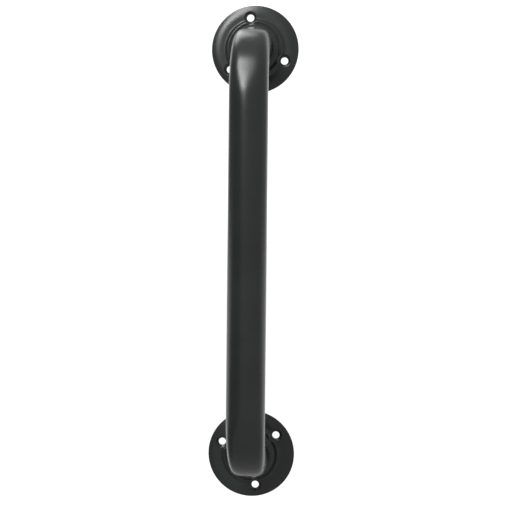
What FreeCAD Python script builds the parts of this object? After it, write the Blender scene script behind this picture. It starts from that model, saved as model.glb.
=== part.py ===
import FreeCAD, Part
import math
import os

import Sketcher
from FreeCAD import Placement, Rotation, Vector

# A fixed grab bar: one round steel tube, bent square at both ends and welded into two
# pressed steel flanges that screw flat against a wall.
# The wall is the plane y = 0 and the bar stands out from it along -Y. The origin is the
# centre of the lower flange's screw circle, and the bar runs up +Z to the upper flange.

# Driving dimensions in millimetres and degrees, each a named cell of the spreadsheet.
SIZES = {
    # the bent tube
    "bar_length": 360.0,        # between the centres of the two flanges
    "stand_off": 76.0,          # wall to the centreline of the grip
    "tube_diameter": 32.0,
    "tube_wall": 1.5,
    "bend_radius": 50.0,        # on the centreline
    "tube_end": 1.2,            # the cut end stops this far short of the wall
    # the pressed flange
    "flange_diameter": 77.0,
    "sheet": 2.0,
    "tube_clearance": 0.15,     # all round, between the tube and its hole
    "rim_height": 1.7,          # front edge of the rim above the wall
    "rim_foot": 74.2,           # inside edge of the rim, where it leaves the wall
    "rim_round": 0.6,
    "band_height": 3.6,         # the ring that carries the screws
    "band_diameter": 60.0,      # outside it the face curves over to the rim
    "step_foot": 53.2,          # diameters of the step up to the hub
    "step_top": 48.0,
    "step_round": 1.4,
    "hub_height": 6.3,
    "hub_lip": 46.4,            # diameters of the lip round the hub's seat
    "seat_edge": 44.4,
    "lip_round": 0.5,
    "seat_height": 5.4,
    # the dished screw holes
    "screw_circle": 56.0,
    "screw_count": 3,
    "hole_diameter": 6.5,
    "dish_floor": 10.0,         # diameters of the dish under a screw's head
    "dish_mouth": 11.6,
    "dish_floor_height": 2.9,
    "boss_foot": 10.6,          # diameters of the same dish behind the sheet
    "boss_top": 15.2,
    "upper_turn": 98.8,         # each flange's first hole, anticlockwise from +X, seen from
    "lower_turn": 38.1,         # the front
    # the weld beads round the tube, in front of the flange and behind it
    "front_bead_foot": 43.4,
    "front_bead_height": 10.2,  # above the wall, where the bead meets the tube
    "front_bead_round": 6.6,
    "back_bead_foot": 39.6,
    "back_bead_round": 3.2,
}

document = FreeCAD.newDocument("grab_bar")
sheet = document.addObject("Spreadsheet::Sheet", "sizes")
for row, (alias, size) in enumerate(SIZES.items(), start=1):
    sheet.set(f"A{row}", alias)
    sheet.set(f"B{row}", str(size))
    sheet.setAlias(f"B{row}", alias)
document.recompute()


def value(expression):
    """The number that an expression on the sheet's cells stands for."""
    result = sheet.evalExpression(expression)
    return float(getattr(result, "Value", result))


def new_body(label):
    body = document.addObject("PartDesign::Body", label)
    body.Label = label
    return body


def origin_part(body, role):
    return next(part for part in body.Origin.OriginFeatures if part.Role == role)


def new_sketch(body, name, role="XZ_Plane"):
    sketch = body.newObject("Sketcher::SketchObject", name)
    sketch.AttachmentSupport = (origin_part(body, role), [""])
    sketch.MapMode = "FlatFace"
    return sketch


def arc_between(start, end, radius):
    """The short counter-clockwise arc from start to end."""
    chord = end - start
    left = Vector(-chord.y, chord.x, 0).normalize()
    centre = (start + end) * 0.5 + left * math.sqrt(radius**2 - (chord.Length / 2) ** 2)
    first = math.atan2(start.y - centre.y, start.x - centre.x)
    last = math.atan2(end.y - centre.y, end.x - centre.x)
    if last < first:
        last += 2 * math.pi
    return Part.ArcOfCircle(Part.Circle(centre, Vector(0, 0, 1), radius), first, last)


def fix_point(sketch, edge, end, across, up):
    """Hold one end of an edge at two sizes, measured from the sketch's origin."""
    for kind, axis, expression in (("DistanceX", -2, across), ("DistanceY", -1, up)):
        size = value(expression)
        if size == 0:
            sketch.addConstraint(Sketcher.Constraint("PointOnObject", edge, end, axis))
            continue
        held = sketch.addConstraint(Sketcher.Constraint(kind, -1, 1, edge, end, size))
        sketch.setExpression(f"Constraints[{held}]", expression)


def draw(sketch, corners, closed=True):
    """Draw lines and arcs through the corners, fully constrained.

    A corner is (across, up, bend). All three are expressions, and bend is the radius of the
    arc that leads on to the next corner, or None for a straight line. An arc turns to the
    left as the outline is followed, or to the right where its radius has a minus sign.
    """
    points = [Vector(value(across), value(up), 0) for across, up, _ in corners]
    edge_count = len(corners) if closed else len(corners) - 1
    ends = []
    for index in range(edge_count):
        start, end = points[index], points[(index + 1) % len(points)]
        bend = corners[index][2]
        if bend is None:
            sketch.addGeometry(Part.LineSegment(start, end))
            ends.append((1, 2))
        elif bend.startswith("-"):
            sketch.addGeometry(arc_between(end, start, value(bend[1:])))
            ends.append((2, 1))
        else:
            sketch.addGeometry(arc_between(start, end, value(bend)))
            ends.append((1, 2))
    for index in range(edge_count):
        following = (index + 1) % edge_count
        if closed or following:
            joint = (index, ends[index][1], following, ends[following][0])
            sketch.addConstraint(Sketcher.Constraint("Coincident", *joint))
        across, up, bend = corners[index]
        fix_point(sketch, index, ends[index][0], across, up)
        if bend is not None:
            radius = bend.lstrip("-")
            held = sketch.addConstraint(Sketcher.Constraint("Radius", index, value(radius)))
            sketch.setExpression(f"Constraints[{held}]", radius)
    if not closed:
        across, up, _ = corners[-1]
        fix_point(sketch, edge_count - 1, ends[-1][1], across, up)


def turn(body, kind, sketch, axis="V_Axis"):
    """Turn a sketch all the way round, adding metal (Revolution) or cutting it (Groove)."""
    feature = body.newObject(f"PartDesign::{kind}", f"{sketch.Name}_turned")
    feature.Profile = sketch
    feature.ReferenceAxis = (sketch, [axis])
    feature.Angle = 360
    return feature


def repeat_round(body, feature):
    """Repeat a feature at every screw hole."""
    document.recompute()
    pattern = body.newObject("PartDesign::PolarPattern", f"{feature.Name}_pattern")
    pattern.Originals = [feature]
    pattern.Axis = (origin_part(body, "Z_Axis"), [""])
    pattern.Angle = 360
    pattern.setExpression("Occurrences", "sizes.screw_count")
    body.Tip = pattern
    return pattern


def round_edges(body, radius, circles):
    """Fillet the full circles that lie at the given (diameter, height) pairs."""
    document.recompute()
    base = body.Tip
    wanted = [(value(diameter) / 2, value(height)) for diameter, height in circles]
    names = []
    for number, edge in enumerate(base.Shape.Edges, start=1):
        if not isinstance(edge.Curve, Part.Circle):
            continue
        place = (edge.Curve.Radius, edge.Curve.Center.z)
        if any(math.dist(place, target) < 1e-3 for target in wanted):
            names.append(f"Edge{number}")
    if len(names) < len(wanted):
        raise RuntimeError(f"{body.Label}: {len(names)} of {len(wanted)} edges found to round")
    fillet = body.newObject("PartDesign::Fillet", f"{body.Name}_{len(body.Group)}_round")
    fillet.Base = (base, names)
    fillet.setExpression("Radius", radius)
    return fillet


def bent_tube():
    """The tube, swept along its centreline, with +X away from the wall in its own frame."""
    body = new_body("grab_tube")
    path = new_sketch(body, "centreline")
    far, near = "sizes.stand_off", "sizes.stand_off - sizes.bend_radius"
    lower, upper = "sizes.bend_radius", "sizes.bar_length - sizes.bend_radius"
    draw(
        path,
        [
            ("sizes.tube_end", "0", None),
            (near, "0", "sizes.bend_radius"),
            (far, lower, None),
            (far, upper, "sizes.bend_radius"),
            (near, "sizes.bar_length", None),
            ("sizes.tube_end", "sizes.bar_length", None),
        ],
        closed=False,
    )
    section = new_sketch(body, "tube_section", "YZ_Plane")
    section.AttachmentOffset = Placement(Vector(0, 0, value("sizes.tube_end")), Rotation())
    section.setExpression("AttachmentOffset.Base.z", "sizes.tube_end")
    radii = ("sizes.tube_diameter / 2", "sizes.tube_diameter / 2 - sizes.tube_wall")
    for index, radius in enumerate(radii):
        section.addGeometry(Part.Circle(Vector(), Vector(0, 0, 1), value(radius)))
        section.addConstraint(Sketcher.Constraint("Coincident", index, 3, -1, 1))
        held = section.addConstraint(Sketcher.Constraint("Radius", index, value(radius)))
        section.setExpression(f"Constraints[{held}]", radius)
    pipe = body.newObject("PartDesign::AdditivePipe", "tube_sweep")
    pipe.Profile = section
    pipe.Spine = (path, [f"Edge{number}" for number in range(1, 6)])
    body.Placement = Placement(Vector(), Rotation(Vector(0, 0, 1), -90))
    return body


# The flange's front outline from its rim in to its tube hole, as (diameter, height, bend).
HOLE = "sizes.tube_diameter + 2 * sizes.tube_clearance"
RIM_CURVE = (
    "((sizes.flange_diameter - sizes.band_diameter) ^ 2 / 4"
    " + (sizes.band_height - sizes.rim_height) ^ 2)"
    " / (2 * (sizes.band_height - sizes.rim_height))"
)
FRONT = [
    ("sizes.flange_diameter", "sizes.rim_height", RIM_CURVE),
    ("sizes.band_diameter", "sizes.band_height", None),
    ("sizes.step_foot", "sizes.band_height", None),
    ("sizes.step_top", "sizes.hub_height", None),
    ("sizes.hub_lip", "sizes.hub_height", None),
    ("sizes.seat_edge", "sizes.seat_height", None),
    (HOLE, "sizes.seat_height", None),
]
# The same outline behind the sheet, from the tube hole out to the rim.
BACK = [
    (HOLE, "sizes.seat_height - sizes.sheet", None),
    ("sizes.seat_edge - sizes.sheet", "sizes.seat_height - sizes.sheet", None),
    ("sizes.hub_lip - sizes.sheet", "sizes.hub_height - sizes.sheet", None),
    ("sizes.step_top - sizes.sheet", "sizes.hub_height - sizes.sheet", None),
    ("sizes.step_foot - sizes.sheet", "sizes.band_height - sizes.sheet", None),
    ("sizes.band_diameter", "sizes.band_height - sizes.sheet", f"-({RIM_CURVE} - sizes.sheet)"),
    ("sizes.rim_foot", "0", None),
    ("sizes.flange_diameter", "0", None),
]
ABOVE = "sizes.hub_height + sizes.sheet"


def halved(outline):
    """The same outline with radii in place of diameters."""
    return [(f"({across}) / 2", up, bend) for across, up, bend in outline]


def beside(axis, outline):
    """The same outline with its diameters measured round an axis that stands off the origin."""
    return [(f"{axis} + ({across}) / 2", up, bend) for across, up, bend in outline]


def stand(body, height, angle=0):
    """Face a body out of the wall, at a height up the bar, turned about its own axis."""
    facing = Rotation(Vector(1, 0, 0), 90).multiply(Rotation(Vector(0, 0, 1), angle))
    body.Placement = Placement(Vector(0, 0, value(height)), facing)
    body.setExpression("Placement.Base.z", height)
    return body


def flange(label, height, angle):
    """A pressed flange, drawn with its rim on z = 0 and facing +Z."""
    body = new_body(label)
    dished = new_sketch(body, f"{label}_sheet")
    draw(dished, halved(FRONT + BACK))
    turn(body, "Revolution", dished)

    # Each screw hole sits in a dish pressed back until it meets the wall. The metal of the
    # dishes is added behind the sheet, and whatever stands above the face is trimmed off.
    axis = "sizes.screw_circle / 2"
    boss = new_sketch(body, f"{label}_boss")
    boss_outline = [
        ("0", "0", None),
        ("sizes.boss_foot", "0", None),
        ("sizes.boss_top", "sizes.hub_height", None),
        ("0", "sizes.hub_height", None),
    ]
    draw(boss, beside(axis, boss_outline))
    repeat_round(body, turn(body, "Revolution", boss, f"Edge{len(boss_outline)}"))
    trimmed = new_sketch(body, f"{label}_face")
    draw(trimmed, halved(FRONT + [(HOLE, ABOVE, None), ("sizes.flange_diameter", ABOVE, None)]))
    turn(body, "Groove", trimmed)

    round_edges(body, "sizes.rim_round", [("sizes.flange_diameter", "sizes.rim_height")])
    step = [("sizes.step_foot", "sizes.band_height"), ("sizes.step_top", "sizes.hub_height")]
    round_edges(body, "sizes.step_round", step[:1])
    round_edges(body, "sizes.lip_round", step[1:] + [("sizes.hub_lip", "sizes.hub_height")])

    dish = new_sketch(body, f"{label}_dish")
    dish_outline = [
        ("0", "0", None),
        ("sizes.hole_diameter", "0", None),
        ("sizes.hole_diameter", "sizes.sheet", None),
        ("sizes.dish_floor", "sizes.dish_floor_height", None),
        ("sizes.dish_mouth", ABOVE, None),
        ("0", ABOVE, None),
    ]
    draw(dish, beside(axis, dish_outline))
    repeat_round(body, turn(body, "Groove", dish, f"Edge{len(dish_outline)}"))
    return stand(body, height, value(angle))


def weld_bead(label, height, outline):
    """One ring of weld metal, turned from its half section."""
    body = new_body(label)
    section = new_sketch(body, f"{label}_section")
    draw(section, halved(outline))
    turn(body, "Revolution", section)
    return stand(body, height)


FRONT_BEAD = [
    ("sizes.tube_diameter", "sizes.seat_height", None),
    ("sizes.front_bead_foot", "sizes.seat_height", "sizes.front_bead_round"),
    ("sizes.tube_diameter", "sizes.front_bead_height", None),
]
BACK_BEAD = [
    ("sizes.tube_diameter", "sizes.tube_end", "sizes.back_bead_round"),
    ("sizes.back_bead_foot", "sizes.seat_height - sizes.sheet", None),
    ("sizes.tube_diameter", "sizes.seat_height - sizes.sheet", None),
]

pieces = [bent_tube()]
for end, height in (("lower", "0"), ("upper", "sizes.bar_length")):
    pieces.append(flange(f"{end}_flange", height, f"sizes.{end}_turn"))
    pieces.append(weld_bead(f"{end}_front_weld", height, FRONT_BEAD))
    pieces.append(weld_bead(f"{end}_back_weld", height, BACK_BEAD))
document.recompute()

for item in document.Objects:
    if "Invalid" in item.State or "Error" in item.State:
        raise RuntimeError(f"{item.Label} failed: {item.State}")
os.makedirs("parts", exist_ok=True)
for piece in pieces:
    if piece.Shape.isNull() or not piece.Shape.isValid() or len(piece.Shape.Solids) != 1:
        raise RuntimeError(f"{piece.Label} isn't one valid solid")
    piece.Shape.exportStep(f"parts/{piece.Label}.step")
    print(f"{piece.Label}: {piece.Shape.Volume:.1f} mm3, {piece.Shape.BoundBox}")
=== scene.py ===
import math

import bmesh
import bpy
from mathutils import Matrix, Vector, geometry


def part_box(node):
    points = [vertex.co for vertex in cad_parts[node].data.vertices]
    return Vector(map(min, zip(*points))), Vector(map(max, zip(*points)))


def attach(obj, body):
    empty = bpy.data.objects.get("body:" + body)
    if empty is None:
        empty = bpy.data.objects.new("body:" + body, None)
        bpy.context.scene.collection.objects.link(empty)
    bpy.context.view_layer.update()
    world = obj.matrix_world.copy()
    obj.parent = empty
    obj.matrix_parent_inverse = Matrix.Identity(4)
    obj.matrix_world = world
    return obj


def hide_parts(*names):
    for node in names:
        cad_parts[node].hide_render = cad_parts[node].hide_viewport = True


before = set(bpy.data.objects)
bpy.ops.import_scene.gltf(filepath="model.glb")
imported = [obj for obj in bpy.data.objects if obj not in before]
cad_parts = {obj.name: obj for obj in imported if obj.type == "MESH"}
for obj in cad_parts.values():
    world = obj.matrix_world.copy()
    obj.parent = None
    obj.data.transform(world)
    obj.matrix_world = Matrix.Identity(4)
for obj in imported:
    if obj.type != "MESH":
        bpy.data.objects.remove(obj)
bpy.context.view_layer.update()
BODY = "root"
MM = 0.001


# ---------------------------------------------------------------------------------------
# The grab tube. One length of 32 mm round steel tube, cold bent at both ends so that the
# outside of each bend is drawn in nearly flat, then powder coated satin black. The coat
# only reaches a little way into the open ends, and the bore behind it is bare steel.
# ---------------------------------------------------------------------------------------
TUBE_LOW, TUBE_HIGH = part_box("grab_tube")
TUBE_RADIUS = TUBE_HIGH.x
STAND_OFF = -TUBE_LOW.y - TUBE_RADIUS
BAR_LENGTH = TUBE_HIGH.z - TUBE_RADIUS
TUBE_END = -TUBE_HIGH.y
BEND_RADIUS = 50 * MM
BEND_STEPS = 60
TUBE_WALL = 1.5 * MM
TUBE_SIDES = 128
RING_SPACING = 1.5 * MM
BEND_FLATTENING = 4.5 * MM
FLAT_CROWN = 0.12           # how much of the round is left in the flattened face
CORNER_ROUND = 5.0 * MM
LEG_FADE = (-15 * MM, 13 * MM)      # where the flattening starts and is whole, past the bend's start
BAR_FADE = (-16 * MM, 26 * MM)
LIP_ROUND = 0.25 * MM
COAT_REACH = 12 * MM        # how far the coat runs up the bore

COAT_ROUGHNESS = 0.23
CLOUD_SCALE = 28.0
PEEL_SCALE = 620.0
GRAIN_SCALE = 3200.0
TUBE_BLACK = (0.0145, 0.0165, 0.0160)
TUBE_CHARCOAL = (0.0205, 0.0230, 0.0222)
BORE_BLACK = (0.018, 0.02, 0.0195)
STEEL_GREY = (0.17, 0.165, 0.16)
STEEL_BROWN = (0.10, 0.07, 0.05)
STEEL_CLOUD_SCALE = 90.0


class Wire:
    """A node's output, which adds a Math node to its tree wherever it is used in a sum."""

    def __init__(self, graph, socket):
        self.graph = graph
        self.socket = socket

    def maths(self, operation, *operands):
        return self.graph.add("ShaderNodeMath", {"operation": operation}, dict(enumerate(operands)))

    def __add__(self, other):
        return self.maths("ADD", self, other)

    def __sub__(self, other):
        return self.maths("SUBTRACT", self, other)

    def __mul__(self, other):
        return self.maths("MULTIPLY", self, other)

    def __truediv__(self, other):
        return self.maths("DIVIDE", self, other)

    def __pow__(self, other):
        return self.maths("POWER", self, other)

    def __rsub__(self, other):
        return self.maths("SUBTRACT", other, self)

    def __rtruediv__(self, other):
        return self.maths("DIVIDE", other, self)

    __radd__ = __add__
    __rmul__ = __mul__

    def at_least(self, other):
        return self.maths("MAXIMUM", self, other)

    def eased(self, start, end):
        """0 up to start, 1 from end, and a smooth step between them."""
        settings = {"interpolation_type": "SMOOTHSTEP"}
        values = {"Value": self, "From Min": start, "From Max": end}
        return self.graph.add("ShaderNodeMapRange", settings, values)


class Graph:
    """A node tree with one way of adding a node."""

    def __init__(self, tree):
        self.tree = tree

    def add(self, kind, settings=None, values=None, out=0):
        node = self.tree.nodes.new(kind)
        for name, setting in (settings or {}).items():
            setattr(node, name, setting)
        for key, value in (values or {}).items():
            socket = node.inputs[key]
            if isinstance(value, Wire):
                self.tree.links.new(value.socket, socket)
            else:
                socket.default_value = value
        return Wire(self, node.outputs[out]) if node.outputs else node

    def outs(self, wire, *names):
        """More outputs of the node that a wire comes from."""
        return [Wire(self, wire.socket.node.outputs[name]) for name in names]


def powder_coat(name, dark, pale, peel_height):
    """Satin black powder coat: a slightly uneven film with a fine orange peel."""
    material = bpy.data.materials.new(name)
    material.use_nodes = True
    tree = material.node_tree
    tree.nodes.clear()
    graph = Graph(tree)
    place = graph.add("ShaderNodeTexCoord", out="Object")

    def mottle(scale, detail):
        values = {"Vector": place, "Scale": scale, "Detail": detail}
        return graph.add("ShaderNodeTexNoise", {}, values)

    clouds = mottle(CLOUD_SCALE, 3.0)
    peel = mottle(PEEL_SCALE, 1.0)
    grain = mottle(GRAIN_SCALE, 2.0)
    tone = clouds.eased(0.3, 0.7) * 0.7 + grain * 0.3
    colour = graph.add(
        "ShaderNodeMix",
        {"data_type": "RGBA"},
        {"Factor": tone, 6: (*dark, 1), 7: (*pale, 1)},
        out=2,
    )
    roughness = COAT_ROUGHNESS + clouds * 0.05 + grain * 0.04
    bump = graph.add(
        "ShaderNodeBump",
        {},
        {"Height": peel, "Strength": 1.0, "Distance": peel_height},
    )
    shader = graph.add(
        "ShaderNodeBsdfPrincipled",
        {},
        {"Base Color": colour, "Roughness": roughness, "IOR": 1.5, "Normal": bump},
    )
    graph.add("ShaderNodeOutputMaterial", {}, {"Surface": shader})
    return material


tube_coat = powder_coat("tube_coat", TUBE_BLACK, TUBE_CHARCOAL, peel_height=0.012 * MM)


def bare_bore():
    """Mill-finish steel with a brown bloom, blackened near the open ends by the coat."""
    material = bpy.data.materials.new("tube_bore")
    material.use_nodes = True
    tree = material.node_tree
    tree.nodes.clear()
    graph = Graph(tree)
    place = graph.add("ShaderNodeTexCoord", out="Object")
    split = graph.add("ShaderNodeSeparateXYZ", {}, {"Vector": place}, out="Y")
    clouds = graph.add(
        "ShaderNodeTexNoise", {}, {"Vector": place, "Scale": STEEL_CLOUD_SCALE, "Detail": 4.0}
    )
    depth = 0 - split - TUBE_END + (clouds - 0.5) * COAT_REACH
    bare = depth.eased(COAT_REACH * 0.6, COAT_REACH)
    steel = graph.add(
        "ShaderNodeMix",
        {"data_type": "RGBA"},
        {"Factor": clouds.eased(0.35, 0.65), 6: (*STEEL_GREY, 1), 7: (*STEEL_BROWN, 1)},
        out=2,
    )
    colour = graph.add(
        "ShaderNodeMix",
        {"data_type": "RGBA"},
        {"Factor": bare, 6: (*BORE_BLACK, 1), 7: steel},
        out=2,
    )
    shader = graph.add(
        "ShaderNodeBsdfPrincipled",
        {},
        {"Base Color": colour, "Metallic": bare * 0.8, "Roughness": 0.45 + clouds * 0.15},
    )
    graph.add("ShaderNodeOutputMaterial", {}, {"Surface": shader})
    return material


def geometry_tree(name, inputs):
    """An empty Geometry Nodes tree, with its named inputs as wires."""
    tree = bpy.data.node_groups.new(name, "GeometryNodeTree")
    tree.interface.new_socket("Geometry", in_out="INPUT", socket_type="NodeSocketGeometry")
    tree.interface.new_socket("Geometry", in_out="OUTPUT", socket_type="NodeSocketGeometry")
    for label, kind in inputs.items():
        tree.interface.new_socket(label, in_out="INPUT", socket_type=f"NodeSocket{kind}")
    graph = Graph(tree)
    first = graph.add("NodeGroupInput")
    return graph, first, dict(zip(inputs, graph.outs(first, *inputs)))


def finish_tree(graph, shape):
    whole = graph.add("GeometryNodeRealizeInstances", {}, {"Geometry": shape})
    graph.add("NodeGroupOutput", {}, {"Geometry": whole})
    return graph.tree


def made_by(tree, source, name, sizes):
    """Run a tree on an object and keep the result as a plain mesh object of that name."""
    run = source.modifiers.new("made", "NODES")
    run.node_group = tree
    for item in tree.interface.items_tree:
        if item.item_type == "SOCKET" and item.name in sizes:
            run[item.identifier] = sizes[item.name]
    bpy.context.view_layer.update()
    evaluated = source.evaluated_get(bpy.context.evaluated_depsgraph_get())
    mesh = bpy.data.meshes.new_from_object(evaluated)
    source.modifiers.remove(run)
    bpy.data.objects.remove(source)
    mesh.name = name
    piece = bpy.data.objects.new(name, mesh)
    bpy.context.scene.collection.objects.link(piece)
    return piece


def poly_curve(name, points, cyclic=False):
    """A curve object of straight runs through the points."""
    curve = bpy.data.curves.new(name, "CURVE")
    curve.dimensions = "3D"
    spline = curve.splines.new("POLY")
    spline.points.add(len(points) - 1)
    for point, place in zip(spline.points, points):
        point.co = (*place, 1)
    spline.use_cyclic_u = cyclic
    item = bpy.data.objects.new(name, curve)
    bpy.context.scene.collection.objects.link(item)
    return item


def bent_tube_tree():
    graph, first, size = geometry_tree(
        "bent_tube",
        {
            "Bend radius": "Float",
            "Bend steps": "Int",
            "Ring spacing": "Float",
            "Tube radius": "Float",
            "Sides": "Int",
            "Stand off": "Float",
            "Bar length": "Float",
            "Flattening": "Float",
            "Flat crown": "Float",
            "Corner round": "Float",
            "Coat": "Material",
        },
    )
    bent = graph.add(
        "GeometryNodeFilletCurve",
        {"mode": "POLY"},
        {"Curve": first, "Count": size["Bend steps"], "Radius": size["Bend radius"]},
    )
    rings = graph.add(
        "GeometryNodeResampleCurve",
        {"mode": "LENGTH"},
        {"Curve": bent, "Length": size["Ring spacing"]},
    )
    section = graph.add(
        "GeometryNodeCurvePrimitiveCircle",
        {"mode": "RADIUS"},
        {"Resolution": size["Sides"], "Radius": size["Tube radius"]},
    )
    skin = graph.add("GeometryNodeCurveToMesh", {}, {"Curve": rings, "Profile Curve": section})

    # The bend's centre is the nearer of two, so heights are folded about the middle.
    place = graph.add("GeometryNodeInputPosition")
    across = graph.add("ShaderNodeSeparateXYZ", {}, {"Vector": place}, out="Y")
    (up,) = graph.outs(across, "Z")
    middle = size["Bar length"] * 0.5
    from_middle = up - middle
    side = from_middle.maths("SIGN", from_middle)
    outward = (0 - across) - (size["Stand off"] - size["Bend radius"])
    beyond = from_middle * side - (middle - size["Bend radius"])
    out_clear, up_clear = outward.at_least(0.0), beyond.at_least(0.0)
    reach = (out_clear * out_clear + up_clear * up_clear) ** 0.5 + 1e-6

    # The outside of the bend is drawn in to a nearly flat face, which fades along both runs.
    strength = outward.eased(*LEG_FADE) * beyond.eased(*BAR_FADE)
    height = reach - size["Bend radius"]
    limit = size["Tube radius"] - size["Flattening"] * strength
    flat = limit + (height - limit) * (1 - strength * (1 - size["Flat crown"]))
    drawn_in = height.maths("SMOOTH_MIN", height, flat, size["Corner round"] * strength + 1e-6)
    dent = height - drawn_in
    shift = graph.add(
        "ShaderNodeCombineXYZ",
        {},
        {"Y": dent * out_clear / reach, "Z": 0 - dent * side * up_clear / reach},
    )
    drawn = graph.add("GeometryNodeSetPosition", {}, {"Geometry": skin, "Offset": shift})
    smooth = graph.add("GeometryNodeSetShadeSmooth", {}, {"Geometry": drawn})
    coated = graph.add(
        "GeometryNodeSetMaterial", {}, {"Geometry": smooth, "Material": size["Coat"]}
    )
    return finish_tree(graph, coated)


centreline = poly_curve(
    "tube_centreline",
    [
        (0, -TUBE_END, 0),
        (0, -STAND_OFF, 0),
        (0, -STAND_OFF, BAR_LENGTH),
        (0, -TUBE_END, BAR_LENGTH),
    ],
)
tube = made_by(
    bent_tube_tree(),
    centreline,
    "bent_tube",
    {
        "Bend radius": BEND_RADIUS,
        "Bend steps": BEND_STEPS,
        "Ring spacing": RING_SPACING,
        "Tube radius": TUBE_RADIUS,
        "Sides": TUBE_SIDES,
        "Stand off": STAND_OFF,
        "Bar length": BAR_LENGTH,
        "Flattening": BEND_FLATTENING,
        "Flat crown": FLAT_CROWN,
        "Corner round": CORNER_ROUND,
        "Coat": tube_coat,
    },
)
tube.data.materials.append(bare_bore())


def face_outward(mesh):
    """Merge doubles and turn every face outwards."""
    shape = bmesh.new()
    shape.from_mesh(mesh)
    bmesh.ops.remove_doubles(shape, verts=shape.verts, dist=0.001 * MM)
    bmesh.ops.recalc_face_normals(shape, faces=shape.faces)
    shape.to_mesh(mesh)
    shape.free()


face_outward(tube.data)
wall = tube.modifiers.new("wall", "SOLIDIFY")
wall.thickness = TUBE_WALL
wall.offset = -1
wall.material_offset = 1
wall.material_offset_rim = 0
lip = tube.modifiers.new("lip", "BEVEL")
lip.width = LIP_ROUND
lip.segments = 2
lip.limit_method = "ANGLE"
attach(tube, BODY)
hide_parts("grab_tube")


# ---------------------------------------------------------------------------------------
# The two flanges. Each is a 77 mm disc of 2 mm steel, pressed in one stroke: the edge
# curls back to the wall, a step lifts the hub, and three dishes are driven back round the
# screw holes until they meet the wall. Black powder coat covers both faces.
# ---------------------------------------------------------------------------------------
FLANGE_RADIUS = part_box("upper_flange")[1].x
SHEET = 2.0 * MM
RIM_HEIGHT = 1.7 * MM
RIM_ROUND = 0.7 * MM
RIM_TOE = 0.2 * MM
RIM_TOE_HEIGHT = 0.25 * MM
BAND_RADIUS = 30.0 * MM
BAND_HEIGHT = 3.6 * MM
STEP_FOOT, STEP_TOP = 26.9 * MM, 23.7 * MM
HUB_LIP, SEAT_EDGE = 23.4 * MM, 22.0 * MM
SEAT_HEIGHT = 5.8 * MM
HOLE_CIRCLE = 28.0 * MM
HOLE_RADIUS = 3.25 * MM
HOLE_ROUND = 0.25 * MM
HOLE_TOE = 0.15 * MM
DISH_FLOOR_RADIUS = 5.0 * MM
DISH_FLOOR_RISE = 0.9 * MM
DISH_WALL_SLOPE = 3.0
DISH_BLEND = 0.7 * MM
DISH_REACH = 8.0 * MM
BORE_RADIUS = TUBE_RADIUS + 0.15 * MM
MESH_STEP = 0.55 * MM
DISH_STEP = MESH_STEP * 0.7
HOLE_SIDES = 56
STEEPEST_WALL = 1.6
SCREW_HOLES = 3
FIRST_HOLE = {"upper_flange": 98.8, "lower_flange": 38.1}    # degrees, seen from the front
FLANGE_BLACK = (0.0175, 0.0195, 0.0188)
FLANGE_CHARCOAL = (0.0245, 0.0270, 0.0262)

flange_coat = powder_coat("flange_coat", FLANGE_BLACK, FLANGE_CHARCOAL, peel_height=0.014 * MM)


def smooth_step(value, start, end):
    share = min(max((value - start) / (end - start), 0.0), 1.0)
    return share * share * (3 - 2 * share)


def smooth_min(first, second, blend):
    share = max(blend - abs(first - second), 0.0) / blend
    return min(first, second) - share * share * blend / 4


def flange_profile(radius, hub_height):
    """Height of the pressed face above the wall, before its dishes are pressed in."""
    rise = hub_height - BAND_HEIGHT
    height = BAND_HEIGHT + rise * smooth_step(radius, STEP_FOOT, STEP_TOP)
    height -= (hub_height - SEAT_HEIGHT) * smooth_step(radius, HUB_LIP, SEAT_EDGE)
    if radius > BAND_RADIUS:
        drop, span = BAND_HEIGHT - RIM_HEIGHT, FLANGE_RADIUS - BAND_RADIUS
        curl = (span**2 + drop**2) / (2 * drop)
        height -= curl - math.sqrt(curl**2 - (radius - BAND_RADIUS) ** 2)
    return height


def face_height(x, y, holes, hub_height):
    height = flange_profile(math.hypot(x, y), hub_height)
    for hole in holes:
        away = math.hypot(x - hole[0], y - hole[1])
        if away > DISH_REACH:
            continue
        dish = SHEET + DISH_FLOOR_RISE * (away - HOLE_RADIUS) / (DISH_FLOOR_RADIUS - HOLE_RADIUS)
        dish += DISH_WALL_SLOPE * max(away - DISH_FLOOR_RADIUS, 0.0)
        height = smooth_min(height, dish, DISH_BLEND)
    return height


def back_height(x, y, holes, hub_height):
    """The face behind the sheet, which keeps the sheet's thickness across its slopes."""
    nudge = 0.05 * MM
    here = face_height(x, y, holes, hub_height)
    slope_x = (face_height(x + nudge, y, holes, hub_height) - here) / nudge
    slope_y = (face_height(x, y + nudge, holes, hub_height) - here) / nudge
    steepness = min(math.sqrt(1 + slope_x**2 + slope_y**2), STEEPEST_WALL)
    return max(here - SHEET * steepness, 0.0)


def ring(centre, radius, sides, phase=0.0):
    turns = [2 * math.pi * (index + phase) / sides for index in range(sides)]
    return [(centre[0] + radius * math.cos(t), centre[1] + radius * math.sin(t)) for t in turns]


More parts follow.
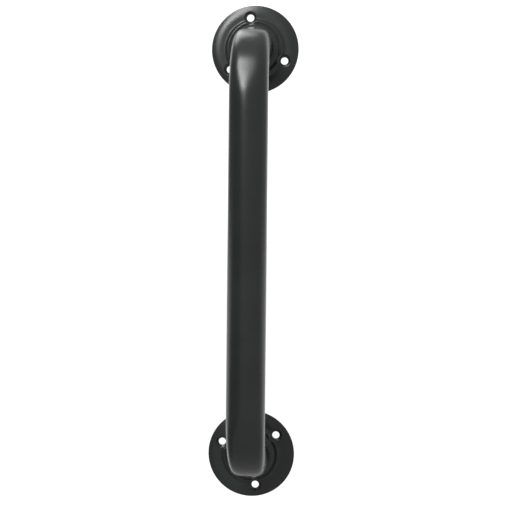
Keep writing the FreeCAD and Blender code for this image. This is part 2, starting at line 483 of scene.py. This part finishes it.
def flange_plan(holes):
    """A flat triangle mesh of the disc, with its bore and screw holes left open."""
    points, loops = [], []

    def add_loop(circle):
        loops.append(range(len(points), len(points) + len(circle)))
        points.extend(circle)

    outer_sides = round(2 * math.pi * FLANGE_RADIUS / MESH_STEP / 2) * 2
    edge = FLANGE_RADIUS - RIM_ROUND
    add_loop(ring((0, 0), edge, outer_sides))
    add_loop(ring((0, 0), BORE_RADIUS, outer_sides // 2))
    for hole in holes:
        add_loop(ring(hole, HOLE_RADIUS + HOLE_ROUND, HOLE_SIDES))
    radius = BORE_RADIUS + MESH_STEP
    row = 0
    while radius < edge - MESH_STEP / 2:
        row += 1
        sides = round(2 * math.pi * radius / MESH_STEP)
        for point in ring((0, 0), radius, sides, phase=row % 2 / 2):
            if all(math.dist(point, hole) > DISH_REACH for hole in holes):
                points.append(point)
        radius += MESH_STEP
    for hole in holes:
        away, row = HOLE_RADIUS + HOLE_ROUND + MESH_STEP * 0.6, 0
        while away < DISH_REACH - MESH_STEP * 0.4:
            row += 1
            sides = round(HOLE_SIDES * max(1, away / HOLE_RADIUS * 0.75))
            for point in ring(hole, away, sides, phase=row % 2 / 2):
                if math.hypot(*point) > BORE_RADIUS + MESH_STEP * 0.6:
                    points.append(point)
            away += DISH_STEP
    constraints = [(loop[i], loop[(i + 1) % len(loop)]) for loop in loops for i in range(len(loop))]
    flat = [Vector(point) for point in points]
    places, _, triangles, *_ = geometry.delaunay_2d_cdt(flat, constraints, [], 0, 1e-9)
    kept = []
    for corners in triangles:
        middle = sum((places[corner] for corner in corners), Vector((0, 0))) / 3
        open_hole = any((middle - Vector(hole)).length < HOLE_RADIUS + HOLE_ROUND for hole in holes)
        if not open_hole and BORE_RADIUS < middle.length:
            kept.append(corners)
    return places, kept, [list(loop) for loop in loops]


def pressed_flange(node):
    low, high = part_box(node)
    hub_height = -low.y
    centre_z = (low.z + high.z) / 2
    first = math.radians(FIRST_HOLE[node])
    holes = ring((0, 0), HOLE_CIRCLE, SCREW_HOLES, phase=first / (2 * math.pi / SCREW_HOLES))
    places, triangles, loops = flange_plan(holes)
    shape = bmesh.new()

    def put(x, y, height):
        return shape.verts.new((x, -height, centre_z + y))

    front = [put(x, y, face_height(x, y, holes, hub_height)) for x, y in places]
    back = [put(x, y, back_height(x, y, holes, hub_height)) for x, y in places]
    for corners in triangles:
        shape.faces.new([front[corner] for corner in corners])
        shape.faces.new([back[corner] for corner in reversed(corners)])

    def bridge(first_loop, second_loop):
        count = len(first_loop)
        for index in range(count):
            following = (index + 1) % count
            corners = (first_loop[index], first_loop[following])
            shape.faces.new((*corners, second_loop[following], second_loop[index]))

    def wall(loop, centre, radius_heights):
        """Join the two faces round an edge, through rings at the given radii and heights."""
        rings = [[front[index] for index in loop]]
        for radius, height in radius_heights:
            made = []
            for index in loop:
                spoke = Vector(places[index]) - Vector(centre)
                spot = Vector(centre) + spoke.normalized() * radius
                made.append(put(spot.x, spot.y, height))
            rings.append(made)
        rings.append([back[index] for index in loop])
        for first_loop, second_loop in zip(rings, rings[1:]):
            bridge(first_loop, second_loop)

    rim, bore, *screw_loops = loops
    turns = [math.pi / 2 * share for share in (0.25, 0.5, 0.75, 1)]
    curve = [(math.sin(t), math.cos(t)) for t in turns]
    shoulder = flange_profile(FLANGE_RADIUS - RIM_ROUND, hub_height) - RIM_ROUND
    rim_path = [
        (FLANGE_RADIUS - RIM_ROUND + RIM_ROUND * out, shoulder + RIM_ROUND * up) for out, up in curve
    ]
    rim_path += [(FLANGE_RADIUS, RIM_TOE_HEIGHT), (FLANGE_RADIUS - RIM_TOE, 0.0)]
    wall(rim, (0, 0), rim_path)
    wall(bore, (0, 0), [(BORE_RADIUS, SEAT_HEIGHT - SHEET / 2)])
    for hole, loop in zip(holes, screw_loops):
        path = [
            (HOLE_RADIUS + HOLE_ROUND * (1 - out), SHEET - HOLE_ROUND * (1 - up)) for out, up in curve
        ]
        wall(loop, hole, path + [(HOLE_RADIUS, HOLE_TOE)])
    bmesh.ops.recalc_face_normals(shape, faces=shape.faces)
    mesh = bpy.data.meshes.new(f"pressed_{node}")
    shape.to_mesh(mesh)
    shape.free()
    for polygon in mesh.polygons:
        polygon.use_smooth = True
    mesh.materials.append(flange_coat)
    piece = bpy.data.objects.new(f"pressed_{node}", mesh)
    bpy.context.scene.collection.objects.link(piece)
    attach(piece, BODY)
    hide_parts(node)


for node in FIRST_HOLE:
    pressed_flange(node)


# ---------------------------------------------------------------------------------------
# The front welds. A full ring of weld metal fills the corner between the tube and each
# flange's hub. It is dressed smooth, so that only a soft waviness is left under the coat.
# ---------------------------------------------------------------------------------------
BEAD_ROUND = 6.6 * MM
BEAD_STEPS = 14
BEAD_RING_SIDES = 240
FRONT_RIPPLES = 30
FRONT_RIPPLE_HEIGHT = 0.03 * MM
UNEVEN_SCALE = 160.0
UNEVEN_SWAY = 2.2           # how far the ripples wander, in radians of their wave

weld_coat = powder_coat("weld_coat", FLANGE_BLACK, FLANGE_CHARCOAL, peel_height=0.018 * MM)


def bulge(start, end, radius, steps):
    """Points along the short anticlockwise arc from start to end."""
    start, end = Vector(start), Vector(end)
    chord = end - start
    left = Vector((-chord.y, chord.x)).normalized()
    centre = (start + end) / 2 + left * math.sqrt(radius**2 - (chord.length / 2) ** 2)
    first = math.atan2(*(start - centre).yx)
    last = math.atan2(*(end - centre).yx)
    if last < first:
        last += 2 * math.pi
    turns = [first + (last - first) * index / steps for index in range(steps + 1)]
    return [(centre.x + radius * math.cos(t), centre.y + radius * math.sin(t)) for t in turns]


def weld_tree():
    graph, first, size = geometry_tree(
        "weld_bead",
        {
            "Ring radius": "Float",
            "Ring sides": "Int",
            "Ripple count": "Float",
            "Ripple height": "Float",
            "Coat": "Material",
        },
    )
    path = graph.add(
        "GeometryNodeCurvePrimitiveCircle",
        {"mode": "RADIUS"},
        {"Resolution": size["Ring sides"], "Radius": size["Ring radius"]},
    )
    bead = graph.add("GeometryNodeCurveToMesh", {}, {"Curve": path, "Profile Curve": first})
    place = graph.add("GeometryNodeInputPosition")
    x_part = graph.add("ShaderNodeSeparateXYZ", {}, {"Vector": place}, out="X")
    (y_part,) = graph.outs(x_part, "Y")
    angle = y_part.maths("ARCTAN2", y_part, x_part)
    uneven = graph.add("ShaderNodeTexNoise", {}, {"Vector": place, "Scale": UNEVEN_SCALE}) - 0.5
    wave = angle * size["Ripple count"] + uneven * UNEVEN_SWAY
    lift = size["Ripple height"] * (wave.maths("SINE", wave) + uneven * 2)
    normal = graph.add("GeometryNodeInputNormal")
    push = graph.add(
        "ShaderNodeVectorMath", {"operation": "SCALE"}, {0: normal, "Scale": lift}
    )
    rippled = graph.add("GeometryNodeSetPosition", {}, {"Geometry": bead, "Offset": push})
    smooth = graph.add("GeometryNodeSetShadeSmooth", {}, {"Geometry": rippled})
    coated = graph.add(
        "GeometryNodeSetMaterial", {}, {"Geometry": smooth, "Material": size["Coat"]}
    )
    return finish_tree(graph, coated)


def weld_ring(node, outline, ripple_count, ripple_height):
    """A weld made round the tube's axis from its half section of (radius, height) points."""
    low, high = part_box(node)
    centre_z = (low.z + high.z) / 2
    section = poly_curve(
        "weld_section", [(radius - TUBE_RADIUS, -height, 0) for radius, height in outline], True
    )
    piece = made_by(
        weld_tree(),
        section,
        f"{node}_ring",
        {
            "Ring radius": TUBE_RADIUS,
            "Ring sides": BEAD_RING_SIDES,
            "Ripple count": ripple_count,
            "Ripple height": ripple_height,
            "Coat": weld_coat,
        },
    )
    for vertex in piece.data.vertices:
        x, y, z = vertex.co
        vertex.co = (x, -z, centre_z + y)
    face_outward(piece.data)
    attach(piece, BODY)
    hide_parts(node)


for end in ("lower", "upper"):
    low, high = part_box(f"{end}_front_weld")
    foot, top = (high.x, SEAT_HEIGHT), (TUBE_RADIUS, -low.y)
    arc = bulge(foot, top, BEAD_ROUND, BEAD_STEPS)
    outline = [(TUBE_RADIUS, SEAT_HEIGHT), *arc]
    weld_ring(f"{end}_front_weld", outline, FRONT_RIPPLES, FRONT_RIPPLE_HEIGHT)


# ---------------------------------------------------------------------------------------
# The back welds. Inside the hollow of each flange the tube's end is welded round to the
# sheet, with a small bead that is coated along with it. Nobody sees this bead, so it keeps
# the ripples of its making.
# ---------------------------------------------------------------------------------------
BACK_BEAD_ROUND = 3.2 * MM
BACK_RIPPLES = 46
BACK_RIPPLE_HEIGHT = 0.09 * MM

for end in ("lower", "upper"):
    low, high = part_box(f"{end}_back_weld")
    corner = (TUBE_RADIUS, TUBE_END)
    arc = bulge(corner, (high.x, -low.y), BACK_BEAD_ROUND, BEAD_STEPS)
    outline = [*arc, (TUBE_RADIUS, -low.y)]
    weld_ring(f"{end}_back_weld", outline, BACK_RIPPLES, BACK_RIPPLE_HEIGHT)


# ---------------------------------------------------------------------------------------
# The studio. A pale floor lies well below the bar and behind it, in a white surround that
# is bright behind the bar and dim on the left. A tall soft key light stands high in front on
# the left, with a smaller, weaker one below it, and a third shines from behind and above.
# ---------------------------------------------------------------------------------------
FLOOR_DROP = 0.62
FLOOR_SIZE = 60.0
FLOOR_FRONT = 1.2
VIEW_POINT = Vector((0.0025, 0.0, 0.1772))
VIEW_DISTANCE = 0.8317
VIEW_TO_LEFT = math.radians(3.637)
VIEW_DOWN = math.radians(1.818)
VIEW_ROLL = math.radians(0.584)
LENS = 65.52
SENSOR_WIDTH = 36.0
FLOOR_GREYS = (0.90, 0.93)
FLOOR_GLOW = 0.6
SEEN_WHITE = 1.2
SURROUND_LIGHT = 0.43
LEFT_DIMMING = 0.25
BACKDROP_LIGHT = 0.95
WHITE = (1.0, 1.0, 1.0, 1)
LIGHT_AIM = Vector((0, -STAND_OFF, BAR_LENGTH))
LIGHT_DISTANCE = 1.5


def studio_floor():
    material = bpy.data.materials.new("floor_paint")
    material.use_nodes = True
    tree = material.node_tree
    tree.nodes.clear()
    graph = Graph(tree)
    place = graph.add("ShaderNodeTexCoord", out="Object")
    clouds = graph.add("ShaderNodeTexNoise", {}, {"Vector": place, "Scale": 3.0})
    dark, pale = [(grey, grey, grey, 1) for grey in FLOOR_GREYS]
    colour = graph.add(
        "ShaderNodeMix", {"data_type": "RGBA"}, {"Factor": clouds, 6: dark, 7: pale}, out=2
    )
    shader = graph.add(
        "ShaderNodeBsdfPrincipled",
        {},
        {
            "Base Color": colour,
            "Roughness": 0.9,
            "Emission Color": WHITE,
            "Emission Strength": FLOOR_GLOW,
        },
    )
    graph.add("ShaderNodeOutputMaterial", {}, {"Surface": shader})
    mesh = bpy.data.meshes.new("studio_floor")
    half = FLOOR_SIZE / 2
    corners = [(-half, FLOOR_FRONT), (half, FLOOR_FRONT), (half, FLOOR_SIZE), (-half, FLOOR_SIZE)]
    mesh.from_pydata([(x, y, -FLOOR_DROP) for x, y in corners], [], [(0, 1, 2, 3)])
    mesh.materials.append(material)
    floor = bpy.data.objects.new("studio_floor", mesh)
    bpy.context.scene.collection.objects.link(floor)


def surround():
    """White all round to the eye. As light it is bright behind the bar, dim on the left."""
    world = bpy.data.worlds.new("surround")
    bpy.context.scene.world = world
    world.use_nodes = True
    tree = world.node_tree
    tree.nodes.clear()
    graph = Graph(tree)
    direction = graph.add("ShaderNodeTexCoord", out="Generated")
    behind = graph.add("ShaderNodeSeparateXYZ", {}, {"Vector": direction}, out="Y")
    across, up = graph.outs(behind, "X", "Z")
    backdrop = behind.eased(0.60, 0.90) * up.eased(-0.9, -0.2) * BACKDROP_LIGHT
    strength = SURROUND_LIGHT - (0 - across).eased(0.3, 0.7) * LEFT_DIMMING + backdrop
    seen = graph.add("ShaderNodeLightPath", out="Is Camera Ray")
    level = seen * SEEN_WHITE + (1 - seen) * strength
    light = graph.add("ShaderNodeBackground", {}, {"Color": WHITE, "Strength": level})
    graph.add("ShaderNodeOutputWorld", {}, {"Surface": light})


def soft_light(name, azimuth, elevation, size, power):
    """An area light aimed at the upper bend, at that angle left (+) of the front, and up."""
    azimuth, elevation = math.radians(azimuth), math.radians(elevation)
    lamp = bpy.data.lights.new(name, "AREA")
    lamp.shape = "RECTANGLE"
    lamp.size, lamp.size_y = size
    lamp.energy = power
    item = bpy.data.objects.new(name, lamp)
    flat = math.cos(elevation)
    way = Vector((-math.sin(azimuth) * flat, -math.cos(azimuth) * flat, math.sin(elevation)))
    item.location = LIGHT_AIM + way * LIGHT_DISTANCE
    item.rotation_euler = way.to_track_quat("Z", "Y").to_euler()
    item.visible_camera = False
    bpy.context.scene.collection.objects.link(item)


def camera():
    lens = bpy.data.cameras.new("camera")
    lens.lens = LENS
    lens.sensor_width = SENSOR_WIDTH
    item = bpy.data.objects.new("camera", lens)
    bpy.context.scene.collection.objects.link(item)
    flat = math.cos(VIEW_DOWN)
    look = Vector(
        (-math.sin(VIEW_TO_LEFT) * flat, math.cos(VIEW_TO_LEFT) * flat, -math.sin(VIEW_DOWN))
    )
    item.location = VIEW_POINT - look * VIEW_DISTANCE
    item.rotation_euler = look.to_track_quat("-Z", "Y").to_euler()
    item.rotation_euler.rotate_axis("Z", VIEW_ROLL)
    bpy.context.scene.camera = item


studio_floor()
surround()
soft_light("key_light", azimuth=23, elevation=43, size=(0.46, 1.05), power=19.5)
soft_light("key_spill", azimuth=25, elevation=22, size=(0.5, 0.5), power=3.4)
soft_light("back_light", azimuth=150, elevation=50, size=(0.75, 0.75), power=5)
camera()
bpy.context.scene.view_settings.view_transform = "Standard"
